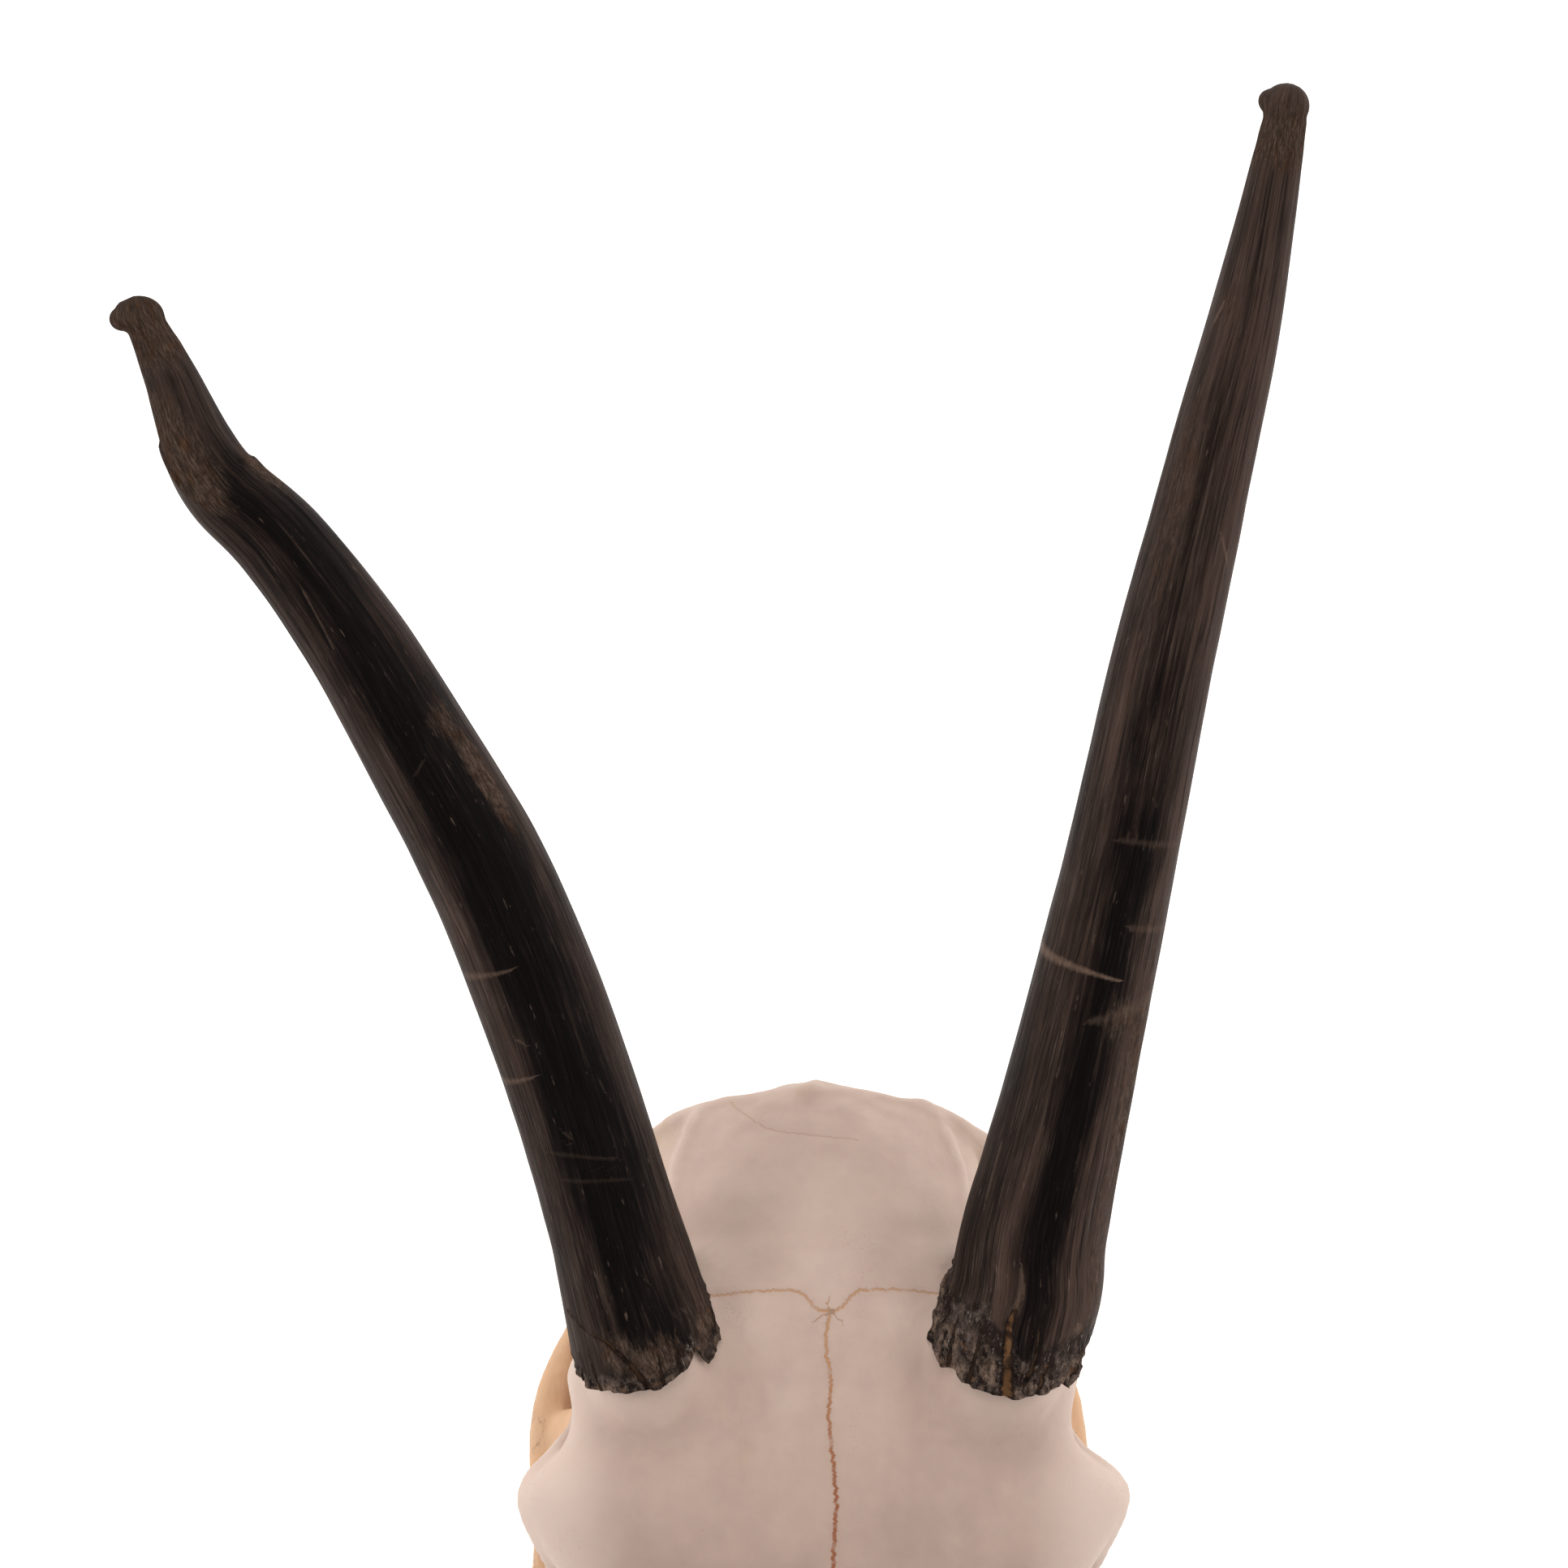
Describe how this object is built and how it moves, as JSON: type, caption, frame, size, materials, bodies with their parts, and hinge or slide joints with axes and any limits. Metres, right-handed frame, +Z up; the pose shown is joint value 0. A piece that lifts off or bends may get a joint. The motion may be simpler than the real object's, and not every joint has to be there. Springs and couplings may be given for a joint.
{
  "type": "gemsbok skull with both horns",
  "caption": "Cranium of a gemsbok with its upper cheek teeth and two short dark horns, one straight and one bent and kinked, lying on its hind molars.",
  "frame": {"origin": "on the table, under the middle of the bounding box", "axes": "+Z up; -Y toward the muzzle and +Y toward the horn tips; the bent left horn is at -X"},
  "size_m": [0.3056, 0.5888, 0.2928],
  "materials": {
    "bone": "dry matt bone, pinkish cream, with fine pores and sutures",
    "horn": "dark brown-black keratin with a dull sheen and fine lengthwise fibres",
    "tooth": "ivory enamel with brown staining between the ridges"
  },
  "bodies": {
    "root": {"skull": "bone", "left_horn": "horn", "right_horn": "horn", "left_premolar_2": "tooth", "left_premolar_3": "tooth", "left_premolar_4": "tooth", "left_molar_1": "tooth", "left_molar_2": "tooth", "left_molar_3": "tooth", "right_premolar_2": "tooth", "right_premolar_3": "tooth", "right_premolar_4": "tooth", "right_molar_1": "tooth", "right_molar_2": "tooth", "right_molar_3": "tooth"}
  },
  "joints": []
}
